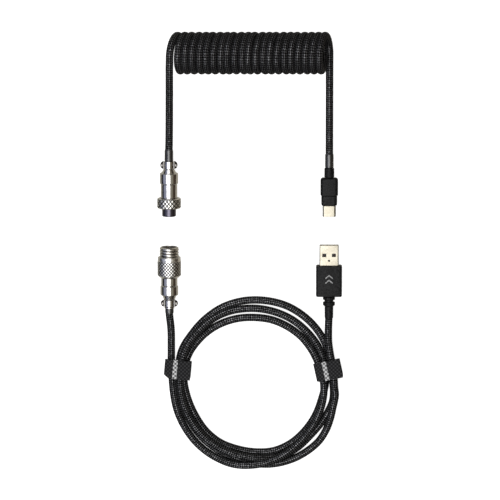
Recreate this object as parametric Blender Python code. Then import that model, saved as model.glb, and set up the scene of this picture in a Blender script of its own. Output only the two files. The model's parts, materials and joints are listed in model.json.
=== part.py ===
"""Two-piece coiled USB cable set, laid flat, standing on the XY plane with +Z up.

The device half has an aviator plug, a curly cord and a USB-C plug. The host half has the
matching aviator socket, a straight cord wound into a ring and tied by two straps, and a USB-A plug.
Both aviator ends share one axis along Y, so the plug can slide into the socket.
"""

import math

import bmesh
import bpy
import numpy as np
from mathutils import Vector

MM = 0.001

# Driving dimensions, in millimetres.
AVIATOR_X = -51.2           # axis of the aviator plug and socket
USB_X = 49.3                # axis of the two USB plugs
CORD_RADIUS = 2.35
SHRINK = (2.45, 2.7)        # inner and outer radius of the heat shrinks
GAP = 0.3                   # between pieces that touch on the real object

NUT_RADIUS = 7.45
AVIATOR_Z = NUT_RADIUS      # the coupling nut rests on the table
SOCKET_MOUTH_Y = 12.3
SOCKET_BORE_RADIUS = 4.65
THREAD_RADIUS = 6.05
BARREL_RADIUS = 7.4
PIN_CIRCLE_RADIUS = 2.15
PIN_RADIUS = 0.45
CONTACT_COUNT = 4

PLUG_NOSE_Y = 31.9
INSERT_RADIUS = 4.35
NUT_FRONT_Y = 37.0
NUT_REAR_Y = 43.4

CLAMP_BORE_RADIUS = 2.55
CLAMP_OUTER_RADIUS = 3.35
CLAMP_HALF_WIDTH = 5.4
CLAMP_SCREW_X = 4.4

USB_A_Z = 4.0
USB_A_SHELL = (12.0, 12.7, 4.5, 0.35)     # width, length, height, wall
USB_A_TIP_Y = 12.9
USB_A_OVERMOLD = (16.3, 19.6, 8.0)        # width, length, height
USB_C_Z = 3.1
USB_C_SHELL = (8.34, 6.7, 2.56, 0.3)
USB_C_TIP_Y = 30.9

COIL_CENTRE_Y = 135.45
COIL_RADIUS = 13.3                        # outer radius of the curly cord
COIL_X = (-47.4, 46.5)                    # ends of the curly cord

RING_CENTRE = (2.65, -75.0)
RING_HEIGHT = 8.6
RING_LIFT = 1.3                           # the strands ride over the straps
# Angle in degrees, inner radius, outer radius of the wound ring.
RING_EDGES = (
    (0, 41.0, 53.4), (30, 40.3, 54.3), (60, 39.2, 55.2), (90, 39.6, 55.3),
    (120, 41.1, 54.3), (150, 43.6, 52.6), (180, 43.0, 53.2), (210, 41.4, 54.4),
    (240, 42.2, 55.6), (270, 42.4, 55.2), (300, 42.6, 56.2), (330, 41.6, 55.4),
)

STRAP_WIDTH = 17.0
STRAP_LENGTH = 12.4                       # along the cord
STRAP_WALL = 1.0
STRAP_HEIGHT = 11.2
# Name, centre x, centre y, turn about Z in degrees.
STRAPS = (("left", -45.9, -65.2, -6.5), ("right", 49.0, -65.9, 12.5))
TAB_FREE_X = -0.3
TAB_HINGE_X = 8.2


def clear_scene():
    for obj in list(bpy.data.objects):
        bpy.data.objects.remove(obj, do_unlink=True)


def material(name, colour, roughness, metallic=0.0):
    mat = bpy.data.materials.new(name)
    mat.use_nodes = True
    shader = mat.node_tree.nodes["Principled BSDF"]
    shader.inputs["Base Color"].default_value = (*colour, 1.0)
    shader.inputs["Roughness"].default_value = roughness
    shader.inputs["Metallic"].default_value = metallic
    return mat


def add_mesh(name, bm, mat, at=(0.0, 0.0, 0.0)):
    """Closes a bmesh drawn in millimetres about `at` into an object in metres."""
    bmesh.ops.recalc_face_normals(bm, faces=bm.faces)
    bmesh.ops.scale(bm, vec=(MM, MM, MM), verts=bm.verts)
    mesh = bpy.data.meshes.new(name)
    bm.to_mesh(mesh)
    bm.free()
    mesh.shade_smooth()
    mesh.set_sharp_from_angle(angle=math.radians(35))
    obj = bpy.data.objects.new(name, mesh)
    obj.location = Vector(at) * MM
    mesh.materials.append(mat)
    bpy.context.scene.collection.objects.link(obj)
    return obj


def bridge_rings(bm, rings, closed):
    """Joins rings of vertices one after another; a ring of one vertex is a pole."""
    pairs = list(zip(rings, rings[1:]))
    if closed:
        pairs.append((rings[-1], rings[0]))
    for first, second in pairs:
        count = max(len(first), len(second))
        if count == 1:
            continue
        for i in range(count):
            j = (i + 1) % count
            corners = [first[i % len(first)], first[j % len(first)],
                       second[j % len(second)], second[i % len(second)]]
            bm.faces.new(list(dict.fromkeys(corners)))


def lathe(name, at, profile, mat, segments=32, axis="Y"):
    """Turns a closed profile of (along, radius) about an axis through `at`."""
    bm = bmesh.new()
    rings = []
    for along, radius in profile:
        ring = []
        for i in range(segments if radius > 0 else 1):
            turn = math.tau * i / segments
            u, v = radius * math.cos(turn), radius * math.sin(turn)
            place = {"X": (along, u, v), "Y": (u, along, v), "Z": (u, v, along)}[axis]
            ring.append(bm.verts.new(place))
        rings.append(ring)
    bridge_rings(bm, rings, closed=profile[0][1] > 0)
    return add_mesh(name, bm, mat, at)


def sleeve(y_rear, y_front, inner, outer, chamfer=0.3):
    """Profile of a plain tube with chamfered outer edges."""
    return [(y_rear, inner), (y_rear, outer - chamfer), (y_rear + chamfer, outer),
            (y_front - chamfer, outer), (y_front, outer - chamfer), (y_front, inner)]


def rounded_rectangle(width, height, radius, corner_steps=4):
    points = []
    for quarter, (sx, sz) in enumerate(((1, 1), (-1, 1), (-1, -1), (1, -1))):
        for i in range(corner_steps + 1):
            turn = math.pi / 2 * (quarter + i / corner_steps)
            points.append((sx * (width / 2 - radius) + radius * math.cos(turn),
                           sz * (height / 2 - radius) + radius * math.sin(turn)))
    return points


def loft(name, at, sections, mat, closed=False):
    """Joins outlines of equal point count; each section is (y, [(x, z), ...])."""
    bm = bmesh.new()
    rings = [[bm.verts.new((x, y, z)) for x, z in outline] for y, outline in sections]
    bridge_rings(bm, rings, closed)
    if not closed:
        bm.faces.new(rings[0])
        bm.faces.new(rings[-1])
    return add_mesh(name, bm, mat, at)


def shell_tube(name, at, outline_of, y_front, y_rear, wall, mat):
    """Open tube whose section is outline_of(inset)."""
    outer, inner = outline_of(0.0), outline_of(wall)
    sections = [(y_front, outer), (y_rear, outer), (y_rear, inner), (y_front, inner)]
    return loft(name, at, sections, mat, closed=True)


def box(name, low, high, mat, bevel=0.0):
    bm = bmesh.new()
    bmesh.ops.create_cube(bm, size=1.0)
    centre = (Vector(low) + Vector(high)) / 2
    bmesh.ops.scale(bm, vec=Vector(high) - Vector(low), verts=bm.verts)
    obj = add_mesh(name, bm, mat, centre)
    if bevel:
        modifier = obj.modifiers.new("bevel", "BEVEL")
        modifier.width = bevel * MM
        modifier.segments = 2
    return obj


def cutter(obj):
    obj.hide_render = True
    obj.display_type = "WIRE"
    return obj


def cut(obj, tool):
    modifier = obj.modifiers.new("cut", "BOOLEAN")
    modifier.object = tool
    modifier.operation = "DIFFERENCE"
    modifier.solver = "EXACT"


def smooth_route(points, spacing):
    """Points every `spacing` along a centripetal Catmull-Rom curve through `points`."""
    knots = np.array(points, dtype=float)
    padded = np.vstack([2 * knots[0] - knots[1], knots, 2 * knots[-1] - knots[-2]])
    dense = []
    for a, b, c, d in zip(padded, padded[1:], padded[2:], padded[3:]):
        t1 = np.linalg.norm(b - a) ** 0.5
        t2 = t1 + np.linalg.norm(c - b) ** 0.5
        t3 = t2 + np.linalg.norm(d - c) ** 0.5
        for t in np.linspace(t1, t2, 24, endpoint=False):
            ab = a + (b - a) * t / t1
            bc = b + (c - b) * (t - t1) / (t2 - t1)
            cd = c + (d - c) * (t - t2) / (t3 - t2)
            abc = ab + (bc - ab) * t / t2
            bcd = bc + (cd - bc) * (t - t1) / (t3 - t1)
            dense.append(abc + (bcd - abc) * (t - t1) / (t2 - t1))
    dense.append(knots[-1])
    dense = np.array(dense)
    along = np.concatenate([[0.0], np.cumsum(np.linalg.norm(np.diff(dense, axis=0), axis=1))])
    stations = np.linspace(0.0, along[-1], max(2, round(along[-1] / spacing) + 1))
    return np.column_stack([np.interp(stations, along, dense[:, k]) for k in range(3)])


def cord(name, points, mat):
    curve = bpy.data.curves.new(name, "CURVE")
    curve.dimensions = "3D"
    curve.bevel_depth = CORD_RADIUS * MM
    curve.bevel_resolution = 3
    curve.use_fill_caps = True
    spline = curve.splines.new("POLY")
    route = smooth_route(points, 2.5 * CORD_RADIUS) * MM
    spline.points.add(len(route) - 1)
    for point, place in zip(spline.points, route):
        point.co = (*place, 1.0)
    curve.materials.append(mat)
    obj = bpy.data.objects.new(name, curve)
    bpy.context.scene.collection.objects.link(obj)
    return obj


def empty(name, at):
    obj = bpy.data.objects.new(name, None)
    obj.location = Vector(at) * MM
    bpy.context.scene.collection.objects.link(obj)
    return obj


def attach(parent, *objects):
    for obj in objects:
        obj.location = obj.location - parent.location
        obj.parent = parent


def contact_circle():
    """Centres of the round contacts about the aviator axis."""
    for i in range(CONTACT_COUNT):
        turn = math.tau * (i + 0.5) / CONTACT_COUNT
        yield i + 1, PIN_CIRCLE_RADIUS * math.cos(turn), PIN_CIRCLE_RADIUS * math.sin(turn)


def cut_contact_holes(obj, radius, y_rear, y_front, mat):
    for i, x, z in contact_circle():
        profile = [(y_rear, 0), (y_rear, radius), (y_front, radius), (y_front, 0)]
        at = (AVIATOR_X + x, 0, AVIATOR_Z + z)
        cut(obj, cutter(lathe(f"{obj.name}_hole_{i}", at, profile, mat, 12)))


def half_clamp(side):
    """Outline of half a cable clamp: an arch with an ear on each side; side is +1 or -1."""
    split, ear_top = 0.15, 1.55
    steps = 8
    outer_start = math.asin(ear_top / CLAMP_OUTER_RADIUS)
    inner_start = math.asin(split / CLAMP_BORE_RADIUS)
    points = [(CLAMP_HALF_WIDTH, split), (CLAMP_HALF_WIDTH, ear_top)]
    for i in range(steps + 1):
        turn = outer_start + (math.pi - 2 * outer_start) * i / steps
        points.append((CLAMP_OUTER_RADIUS * math.cos(turn), CLAMP_OUTER_RADIUS * math.sin(turn)))
    points += [(-CLAMP_HALF_WIDTH, ear_top), (-CLAMP_HALF_WIDTH, split)]
    for i in range(steps + 1):
        turn = math.pi - inner_start - (math.pi - 2 * inner_start) * i / steps
        points.append((CLAMP_BORE_RADIUS * math.cos(turn), CLAMP_BORE_RADIUS * math.sin(turn)))
    return [(x, side * z) for x, z in points]


def cable_clamp(prefix, y_rear, y_front, mats):
    """Base, saddle and two screws that grip the cord behind an aviator shell."""
    at = (AVIATOR_X, 0, AVIATOR_Z)
    halves = [loft(f"{prefix}_clamp_{part}", at,
                   [(y_rear, half_clamp(side)), (y_front, half_clamp(side))], mats["plated"])
              for part, side in (("base", -1), ("saddle", 1))]
    pieces = list(halves)
    middle = (y_rear + y_front) / 2
    for part, side in (("left", -1), ("right", 1)):
        place = (AVIATOR_X + side * CLAMP_SCREW_X, middle, AVIATOR_Z)
        screw = [(-1.3, 0), (-1.3, 0.5), (1.62, 0.5), (1.62, 0.85), (2.3, 0.85), (2.5, 0.6), (2.5, 0)]
        pieces.append(lathe(f"{prefix}_clamp_screw_{part}", place, screw, mats["plated"], 12, "Z"))
        hole = [(-3, 0), (-3, 0.75), (3, 0.75), (3, 0)]
        tool = cutter(lathe(f"{prefix}_screw_hole_{part}", place, hole, mats["plated"], 12, "Z"))
        for half in halves:
            cut(half, tool)
    return pieces


def aviator_socket(mats):
    """Host side: pins in a threaded shell, its mouth facing +Y."""
    at = (AVIATOR_X, 0, AVIATOR_Z)
    bore, mouth = SOCKET_BORE_RADIUS, SOCKET_MOUTH_Y
    lathe("socket_threaded_shell", at, [
        (mouth, bore), (mouth, THREAD_RADIUS - 0.85), (mouth - 0.7, THREAD_RADIUS), (6.3, THREAD_RADIUS),
        (6.3, 5.4), (-6.8, 5.4), (-6.8, bore)], mats["plated"], 36)
    insert = lathe("socket_insert", at, [(4.3, 0), (4.3, 4.4), (-6.2, 4.4), (-6.2, 0)], mats["insert"])
    cut_contact_holes(insert, PIN_RADIUS + 0.25, -8.0, 6.0, mats["insert"])
    for i, x, z in contact_circle():
        pin = [(-7.6, 0), (-7.6, PIN_RADIUS), (7.4, PIN_RADIUS), (7.7, 0.2), (7.7, 0)]
        lathe(f"socket_pin_{i}", (AVIATOR_X + x, 0, AVIATOR_Z + z), pin, mats["gold"], 10)
    lathe("socket_knurled_barrel", at, [
        (6.0, 5.7), (6.0, 6.9), (5.75, 7.2), (4.1, 7.2), (3.8, 6.85), (3.5, BARREL_RADIUS),
        (-5.6, BARREL_RADIUS), (-6.9, 6.0), (-6.9, 5.7)], mats["plated"], 40)
    lathe("socket_body_tube", at, sleeve(-12.2, -7.2, 3.6, 5.1), mats["plated"])
    lathe("socket_rear_shell", at, [
        (-12.5, 4.1), (-12.5, 5.4), (-12.7, 5.6), (-18.0, 5.6), (-18.4, 5.2), (-18.4, 4.5),
        (-21.3, 3.35), (-21.3, CLAMP_BORE_RADIUS), (-17.4, CLAMP_BORE_RADIUS), (-17.4, 4.1)],
        mats["plated"])
    cable_clamp("socket", -25.6, -21.6, mats)
    lathe("socket_cable_grommet", at, sleeve(-26.9, -25.9, CLAMP_BORE_RADIUS, 3.1, 0.2), mats["plated"])
    lathe("socket_heat_shrink", at, sleeve(-29.8, -27.2, *SHRINK, 0.05), mats["shrink"], 24)


def aviator_plug(mats):
    """Device side: contact sleeves in an insulator, with a captive coupling nut."""
    at = (AVIATOR_X, 0, AVIATOR_Z)
    nose = PLUG_NOSE_Y
    insert = lathe("plug_insert", at, [
        (nose, 0), (nose, INSERT_RADIUS - 0.3), (nose + 0.3, INSERT_RADIUS), (50.0, INSERT_RADIUS),
        (50.0, 0)], mats["insert"])
    cut_contact_holes(insert, 1.15, nose - 1, nose + 8.6, mats["insert"])
    pieces = [insert]
    for i, x, z in contact_circle():
        place = (AVIATOR_X + x, 0, AVIATOR_Z + z)
        pieces.append(lathe(f"plug_contact_{i}", place,
                            sleeve(nose + 0.5, nose + 8.2, 0.7, 0.95, 0.1), mats["gold"], 12))
    pieces.append(lathe("plug_front_tube", at, [
        (39.9, 4.65), (39.9, 5.85), (41.0, 5.85), (41.0, 5.05), (43.6, 5.05), (43.7, 5.15),
        (52.1, 5.15), (52.3, 4.95), (52.3, 4.65)], mats["plated"]))
    pieces.append(lathe("plug_rear_shell", at, [
        (52.6, 4.4), (52.6, 5.55), (52.8, 5.75), (58.9, 5.75), (59.3, 5.35), (59.3, 4.6), (61.7, 3.35),
        (61.7, CLAMP_BORE_RADIUS), (57.8, CLAMP_BORE_RADIUS), (57.8, 4.4)], mats["plated"]))
    pieces += cable_clamp("plug", 62.0, 66.6, mats)
    pieces.append(lathe("plug_heat_shrink", at, sleeve(66.9, 73.8, *SHRINK, 0.05), mats["shrink"], 24))
    nut = lathe("coupling_nut", at, [
        (NUT_FRONT_Y, 6.3), (NUT_FRONT_Y, NUT_RADIUS - 0.7), (NUT_FRONT_Y + 0.7, NUT_RADIUS),
        (NUT_REAR_Y - 0.6, NUT_RADIUS), (NUT_REAR_Y, NUT_RADIUS - 0.6), (NUT_REAR_Y, 5.4),
        (41.3, 5.4), (41.3, 6.3)], mats["plated"], 40)
    slide = empty("aviator_plug_slide", (AVIATOR_X, nose, AVIATOR_Z))
    attach(slide, *pieces)
    spin = empty("coupling_nut_spin", (AVIATOR_X, NUT_FRONT_Y, AVIATOR_Z))
    attach(spin, nut)
    attach(slide, spin)


def usb_a_plug(mats):
    """Host plug: folded steel shell round a contact tongue, with a moulded grip."""
    at = (USB_X, 0, USB_A_Z)
    width, length, height, wall = USB_A_SHELL
    tip, root = USB_A_TIP_Y, USB_A_TIP_Y - length

    def frame_of(inset):
        return rounded_rectangle(width - 2 * inset, height - 2 * inset, max(0.55 - inset, 0.2), 2)

    shell = shell_tube("usb_a_shell", at, frame_of, tip, root, wall, mats["gold_steel"])
    for side, name in ((-1, "left"), (1, "right")):
        x = USB_X + side * 3.0
        window = box(f"shell_window_{name}", (x - 1.25, 5.6, -1), (x + 1.25, 7.8, 9), mats["insert"])
        cut(shell, cutter(window))
    dot = [(1, 0), (1, 0.7), (4, 0.7), (4, 0)]
    cut(shell, cutter(lathe("shell_dot", (USB_X, 3.2, USB_A_Z), dot, mats["insert"], 12, "Z")))
    floor = USB_A_Z - height / 2 + wall + 0.12
    box("usb_a_tongue", (USB_X - 5.4, root + 0.1, floor), (USB_X + 5.4, tip - 0.6, floor + 1.7),
        mats["tongue"])
    for i, x in enumerate((-3.5, -1.0, 1.0, 3.5)):
        box(f"usb_a_contact_{i + 1}", (USB_X + x - 0.5, 2.6, floor + 1.8),
            (USB_X + x + 0.5, tip - 1.6, floor + 1.95), mats["gold"])
    width, length, height = USB_A_OVERMOLD
    front = root - GAP
    box("usb_a_overmold", (USB_X - width / 2, front - length, 0.0), (USB_X + width / 2, front, height),
        mats["moulding"], 0.9)
    y = front - length - GAP
    lathe("usb_a_strain_relief", at, [
        (y, 2.45), (y, 3.5), (y - 0.3, 3.8), (y - 1.8, 3.8), (y - 2.1, 2.8), (y - 3.2, 2.8),
        (y - 3.5, 3.8), (y - 5.4, 3.8), (y - 6.0, 2.75), (y - 13.6, 2.65), (y - 13.6, 2.45)],
        mats["moulding"], 28)


def coil_arc(x, angles):
    """Points along a turn of the curly cord; 0 degrees is its +Y side and 90 its top."""
    radius = COIL_RADIUS - CORD_RADIUS
    return [(x, COIL_CENTRE_Y + radius * math.cos(math.radians(a)),
             COIL_RADIUS + radius * math.sin(math.radians(a))) for a in angles]


def usb_c_plug(mats):
    """Device plug: drawn steel shell on a stepped moulding with a round collar."""
    at = (USB_X, 0, USB_C_Z)
    width, length, height, wall = USB_C_SHELL
    tip, root = USB_C_TIP_Y, USB_C_TIP_Y + length

    def pill(inset):
        return rounded_rectangle(width - 2 * inset, height - 2 * inset, height / 2 - inset - 0.01, 5)

    def block(y_front, y_rear, wide, tall, corner):
        full = rounded_rectangle(wide, tall, corner, 3)
        small = rounded_rectangle(wide - 1.0, tall - 0.8, corner - 0.35, 3)
        return [(y_front, small), (y_front + 0.5, full), (y_rear - 0.5, full), (y_rear, small)]

    pieces = [shell_tube("usb_c_shell", at, pill, tip, root, wall, mats["gold_steel"])]
    tongue = rounded_rectangle(7.2, 1.5, 0.5, 2)
    pieces.append(loft("usb_c_contact_carrier", at, [(root - 2.2, tongue), (root, tongue)], mats["insert"]))
    pieces.append(loft("usb_c_front_cap", at, block(root + GAP, 44.1, 9.95, 5.2, 1.9), mats["moulding"]))
    pieces.append(loft("usb_c_overmold", at, block(44.4, 55.6, 11.0, 6.0, 2.1), mats["moulding"]))
    pieces.append(lathe("usb_c_collar", at, [
        (55.9, 2.45), (55.9, 2.9), (56.2, 3.1), (61.3, 3.1), (61.9, 2.8), (61.9, 2.45)], mats["moulding"], 28))
    pieces.append(lathe("usb_c_heat_shrink", at, sleeve(62.2, 70.4, *SHRINK, 0.05), mats["shrink"], 24))
    lead = [(USB_X, 58.0, USB_C_Z), (USB_X, 66.0, USB_C_Z), (USB_X, 74.0, 3.0), (USB_X, 84.0, 2.5),
            (USB_X, 95.0, CORD_RADIUS), (USB_X, 110.0, CORD_RADIUS), (USB_X, 125.0, CORD_RADIUS)]
    lead += coil_arc(USB_X + 0.1, (-90, -68, -45, -22, 0))
    pieces.append(cord("lead_usb_c", lead, mats["braid"]))
    attach(empty("coil_stretch", (COIL_X[1], COIL_CENTRE_Y, COIL_RADIUS)), *pieces)


def curly_cord(mats):
    """The coil as one hollow tube, and the lead that runs from it to the aviator plug."""
    inner = COIL_RADIUS - 2 * CORD_RADIUS
    left, right = COIL_X
    lathe("coil", (0, COIL_CENTRE_Y, COIL_RADIUS),
          [(left, inner), (left, COIL_RADIUS), (right, COIL_RADIUS), (right, inner)], mats["braid"], 36, "X")
    x = AVIATOR_X
    lead = [(x, 63.0, AVIATOR_Z), (x, 66.5, AVIATOR_Z), (x, 70.0, AVIATOR_Z), (x + 0.05, 74.5, AVIATOR_Z),
            (x + 0.2, 81.0, 7.8), (x + 0.35, 90.0, 9.9), (x + 0.5, 100.0, 13.8), (x + 0.65, 110.0, 18.3),
            (x + 0.75, 120.0, 22.4), (x + 0.8, 127.5, 24.05)]
    lead += coil_arc(x + 0.8, (90, 68, 45, 22, 0))
    cord("lead_plug", lead, mats["braid"])


def ring_edges(degrees):
    """Inner and outer radius of the ring, blended between the listed angles."""
    step = 360 / len(RING_EDGES)
    index = int(degrees // step)
    share = degrees / step - index
    rows = [RING_EDGES[(index + k) % len(RING_EDGES)][1:] for k in (-1, 0, 1, 2)]
    edges = []
    for a, b, c, d in zip(*rows):
        slope_b, slope_c = (c - a) / 2, (d - b) / 2
        edges.append((2 * share**3 - 3 * share**2 + 1) * b + (share**3 - 2 * share**2 + share) * slope_b
                     + (3 * share**2 - 2 * share**3) * c + (share**3 - share**2) * slope_c)
    return edges


def ring_lift(degrees):
    """How far the strands stand off the table to pass over the straps."""
    lift = 0.0
    for _, x, y, _ in STRAPS:
        middle = math.degrees(math.atan2(y - RING_CENTRE[1], x - RING_CENTRE[0]))
        away = abs((degrees - middle + 180) % 360 - 180)
        share = min(max((28 - away) / 16, 0.0), 1.0)
        lift = max(lift, RING_LIFT * share * share * (3 - 2 * share))
    return lift


def host_cord(mats):
    """The wound ring as one closed loop, and the leads to the socket and the USB-A plug."""
    bm = bmesh.new()
    rings = []
    steps, chamfer = 60, 1.3
    for i in range(steps):
        degrees = 360 * i / steps
        inner, outer = ring_edges(degrees)
        low = ring_lift(degrees)
        high = low + RING_HEIGHT
        section = [(inner, low + chamfer), (inner + chamfer, low), (outer - chamfer, low),
                   (outer, low + chamfer), (outer, high - chamfer), (outer - chamfer, high),
                   (inner + chamfer, high), (inner, high - chamfer)]
        turn = math.radians(degrees)
        rings.append([bm.verts.new((r * math.cos(turn), r * math.sin(turn), z)) for r, z in section])
    bridge_rings(bm, rings, closed=True)
    add_mesh("ring_coil", bm, mats["braid"], (*RING_CENTRE, 0))
    x = AVIATOR_X
    cord("lead_socket", [
        (x, -20.0, AVIATOR_Z), (x, -26.5, AVIATOR_Z), (x, -30.5, AVIATOR_Z), (x + 0.3, -33.5, 7.2),
        (x + 0.8, -38.0, 6.1), (x + 1.1, -43.5, 4.7), (x + 1.1, -49.0, 3.4), (x + 1.1, -55.3, 2.7)],
        mats["braid"])
    x = USB_X
    cord("lead_usb_a", [
        (x, -22.0, USB_A_Z), (x, -28.0, USB_A_Z), (x, -33.0, USB_A_Z), (x - 0.2, -38.0, 4.35),
        (x - 0.3, -41.6, 5.1)], mats["braid"])


def strap(name, x, y, degrees, mats):
    """A hook-and-loop strap: a band round the strands and its free tab on top."""
    turn = math.radians(degrees)
    centre = Vector((x, y, 0))
    half = STRAP_LENGTH / 2

    def outline(inset):
        points = rounded_rectangle(STRAP_WIDTH - 2 * inset, STRAP_HEIGHT - 2 * inset, 2.4 - inset, 4)
        return [(px, pz + STRAP_HEIGHT / 2) for px, pz in points]

    band = shell_tube(f"strap_{name}_band", centre, outline, half, -half, STRAP_WALL, mats["strap"])
    band.rotation_euler.z = turn
    top = STRAP_HEIGHT + GAP
    hinge = centre + Vector((TAB_HINGE_X * math.cos(turn), TAB_HINGE_X * math.sin(turn), top))
    reach = TAB_HINGE_X - TAB_FREE_X
    bm = bmesh.new()
    bmesh.ops.create_cube(bm, size=1.0)
    bmesh.ops.scale(bm, vec=(reach, STRAP_LENGTH - 0.2, STRAP_WALL), verts=bm.verts)
    bmesh.ops.translate(bm, vec=(-reach / 2, 0, STRAP_WALL / 2), verts=bm.verts)
    upright = [e for e in bm.edges if abs(e.verts[0].co.z - e.verts[1].co.z) > 0.5]
    bmesh.ops.bevel(bm, geom=upright, offset=0.8, segments=3, affect="EDGES")
    tab = add_mesh(f"strap_{name}_tab", bm, mats["strap"], hinge)
    tab.rotation_euler.z = turn


def build():
    clear_scene()
    mats = {
        "plated": material("nickel_plate", (0.62, 0.61, 0.58), 0.2, 1.0),
        "gold": material("contact_gold", (0.9, 0.68, 0.32), 0.25, 1.0),
        "gold_steel": material("pale_gold_steel", (0.86, 0.8, 0.62), 0.25, 1.0),
        "insert": material("black_insulator", (0.02, 0.02, 0.022), 0.35),
        "tongue": material("contact_tongue", (0.05, 0.05, 0.055), 0.5),
        "moulding": material("black_moulding", (0.015, 0.015, 0.016), 0.55),
        "shrink": material("heat_shrink", (0.018, 0.018, 0.018), 0.5),
        "braid": material("black_braid", (0.02, 0.02, 0.021), 0.6),
        "strap": material("hook_and_loop", (0.022, 0.022, 0.023), 0.9),
    }
    aviator_socket(mats)
    aviator_plug(mats)
    usb_a_plug(mats)
    usb_c_plug(mats)
    curly_cord(mats)
    host_cord(mats)
    for name, x, y, degrees in STRAPS:
        strap(name, x, y, degrees, mats)


build()
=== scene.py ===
import json
import math

import bmesh
import bpy
import numpy as np
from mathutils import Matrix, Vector


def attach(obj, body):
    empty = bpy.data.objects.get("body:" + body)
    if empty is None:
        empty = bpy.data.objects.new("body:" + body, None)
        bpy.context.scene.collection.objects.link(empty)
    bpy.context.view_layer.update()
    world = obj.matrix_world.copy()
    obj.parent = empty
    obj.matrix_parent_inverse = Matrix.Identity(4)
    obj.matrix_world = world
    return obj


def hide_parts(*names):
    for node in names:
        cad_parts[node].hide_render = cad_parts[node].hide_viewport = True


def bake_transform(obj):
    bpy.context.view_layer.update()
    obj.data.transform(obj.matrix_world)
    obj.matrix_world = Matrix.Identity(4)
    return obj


# Looks of the two-piece coiled USB cable set. Lengths are in millimetres unless a comment says otherwise.

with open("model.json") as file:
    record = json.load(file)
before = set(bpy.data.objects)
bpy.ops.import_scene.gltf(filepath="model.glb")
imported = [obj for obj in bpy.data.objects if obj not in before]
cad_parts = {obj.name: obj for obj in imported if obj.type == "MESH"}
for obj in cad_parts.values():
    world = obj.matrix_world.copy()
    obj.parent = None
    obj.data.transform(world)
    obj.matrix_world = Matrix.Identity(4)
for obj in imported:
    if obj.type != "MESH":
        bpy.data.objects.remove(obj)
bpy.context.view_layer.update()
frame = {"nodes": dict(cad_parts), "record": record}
MM = 0.001
BODY_OF = {node: body for body, nodes in frame["record"]["behaviour"]["bodies"].items() for node in nodes}

# The axis of each connector; stations along it are counted from y = 0, between the two halves.
AVIATOR = (-51.2, 0.0, 7.45)
USB_A = (49.3, 0.0, 4.0)
USB_C = (49.3, 0.0, 3.1)
CORD_RADIUS = 2.35


def link(obj):
    bpy.context.scene.collection.objects.link(obj)


# ---------------------------------------------------------------- camera

CAMERA_LENS, CAMERA_SENSOR = 300, 36
CAMERA_CLIP = (0.1, 20)                       # metres
CAMERA_FIELD = 0.315                          # metres across the view, where it meets the table
CAMERA_TILT = math.radians(9.5)               # from straight above towards the +Y side
CAMERA_TARGET = (-0.00044, 0.00908, 0.0)      # metres


def add_camera():
    data = bpy.data.cameras.new("camera")
    data.lens = CAMERA_LENS
    data.sensor_width = CAMERA_SENSOR
    data.clip_start, data.clip_end = CAMERA_CLIP
    camera = bpy.data.objects.new("camera", data)
    distance = CAMERA_FIELD * CAMERA_LENS / CAMERA_SENSOR
    away = Vector((0, math.sin(CAMERA_TILT), math.cos(CAMERA_TILT)))
    camera.location = Vector(CAMERA_TARGET) + distance * away
    camera.rotation_euler = (-CAMERA_TILT, 0, 0)
    link(camera)
    bpy.context.scene.camera = camera


add_camera()


# ---------------------------------------------------------------- materials

UV_OUT, OBJECT_OUT = 2, 3        # outputs of a Texture Coordinate node
PLATE_GRAIN = 2600.0             # noise cells a metre in the finest polishing marks


class Material:
    """A node material round one Principled BSDF; constants sit on the shader's own sockets."""

    def __init__(self, name, **sockets):
        self.mat = bpy.data.materials.new(name)
        self.mat.use_nodes = True
        self.tree = self.mat.node_tree
        self.shader = self.tree.nodes["Principled BSDF"]
        for socket, value in sockets.items():
            self.shader.inputs[socket.replace("_", " ")].default_value = value

    def node(self, kind, out=0, settings=None, **inputs):
        made = self.tree.nodes.new(kind)
        for key, value in (settings or {}).items():
            setattr(made, key, value)
        for key, value in inputs.items():
            socket = made.inputs[int(key[1:])] if key[0] == "i" and key[1:].isdigit() else made.inputs[key]
            if isinstance(value, bpy.types.NodeSocket):
                self.tree.links.new(value, socket)
            else:
                socket.default_value = value
        return made.outputs[out]

    def math(self, operation, a, b=0.0, c=0.0):
        return self.node("ShaderNodeMath", settings={"operation": operation}, i0=a, i1=b, i2=c)

    def link(self, output, socket):
        self.tree.links.new(output, self.shader.inputs[socket])

    def coords(self):
        """Metres in the shared frame, because every piece's own origin is the frame's."""
        return self.node("ShaderNodeTexCoord", out=OBJECT_OUT)

    def noise(self, scale, detail=2.0, roughness=0.5):
        return self.node("ShaderNodeTexNoise", Vector=self.coords(), Scale=scale, Detail=detail,
                         Roughness=roughness)

    def ramp(self, value, low, high, to_low=0.0, to_high=1.0):
        return self.node("ShaderNodeMapRange", Value=value, i1=low, i2=high, i3=to_low, i4=to_high)

    def mix(self, share, a, b):
        mixer = self.tree.nodes.new("ShaderNodeMix")
        mixer.data_type = "RGBA"
        for socket, value in ((mixer.inputs[0], share), (mixer.inputs[6], a), (mixer.inputs[7], b)):
            if isinstance(value, bpy.types.NodeSocket):
                self.tree.links.new(value, socket)
            elif socket.type == "RGBA":
                socket.default_value = (*value, 1.0)
            else:
                socket.default_value = value
        return mixer.outputs[2]

    def bump(self, height, distance, strength):
        normal = self.node("ShaderNodeBump", Height=height, Distance=distance, Strength=strength)
        self.link(normal, "Normal")

    def polish(self, low, high, grain=PLATE_GRAIN):
        """Fine polishing grain, with a roughness that runs from `low` to `high`."""
        fine = self.noise(grain)
        self.link(self.ramp(fine, 0.3, 0.7, low, high), "Roughness")
        self.bump(fine, 0.00001, 0.35)


def metal(name, colour, roughness, shade, grain=PLATE_GRAIN):
    """Plated metal with faint cloudy tone, fine polishing grain and uneven gloss."""
    made = Material(name, Metallic=1.0)
    cloud = made.noise(180.0, 3.0)
    made.link(made.mix(made.ramp(cloud, 0.3, 0.7), colour, shade), "Base Color")
    made.polish(roughness * 0.8, roughness * 1.3, grain)
    return made.mat


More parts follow.
